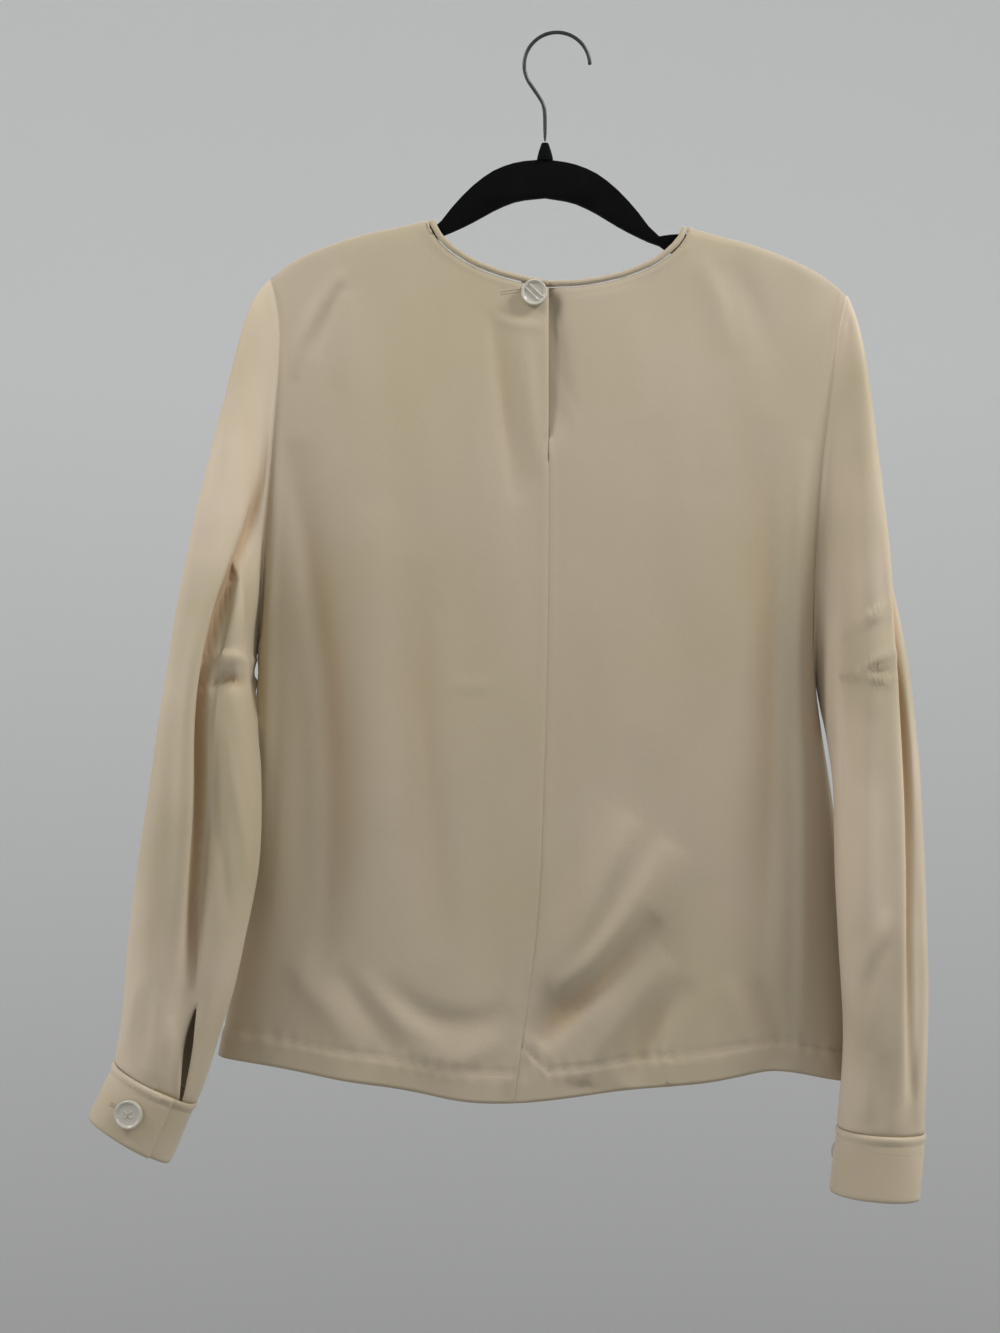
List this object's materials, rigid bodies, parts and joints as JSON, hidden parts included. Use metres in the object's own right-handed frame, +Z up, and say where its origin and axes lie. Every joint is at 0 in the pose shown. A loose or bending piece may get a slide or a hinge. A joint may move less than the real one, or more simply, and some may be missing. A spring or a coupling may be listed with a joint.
{
  "type": "silk blouse on a hanger",
  "caption": "Long-sleeved cream silk blouse with a round bound neck, buttoned back slit and buttoned cuffs, hanging on a slim velvet hanger.",
  "frame": {"origin": "where the hanger's hook rests on its nail", "axes": "+Z up; the blouse's back faces -Y and its front faces +Y; +X to the right when looking at the back"},
  "size_m": [0.5722, 0.1093, 0.8084],
  "materials": {
    "silk": "soft satin sheen",
    "pearl": "polished",
    "velvet": "matte flocking",
    "wire": "gloss black"
  },
  "bodies": {
    "root": {"front": "silk", "back_left": "silk", "back_right": "silk", "sleeve_left": "silk", "sleeve_right": "silk", "cuff_left": "silk", "cuff_right": "silk", "neck_binding": "silk", "button_neck": "pearl", "button_cuff_left": "pearl", "button_cuff_right": "pearl", "hanger_body": "velvet", "hanger_collar": "velvet", "hanger_hook": "wire"}
  },
  "joints": []
}
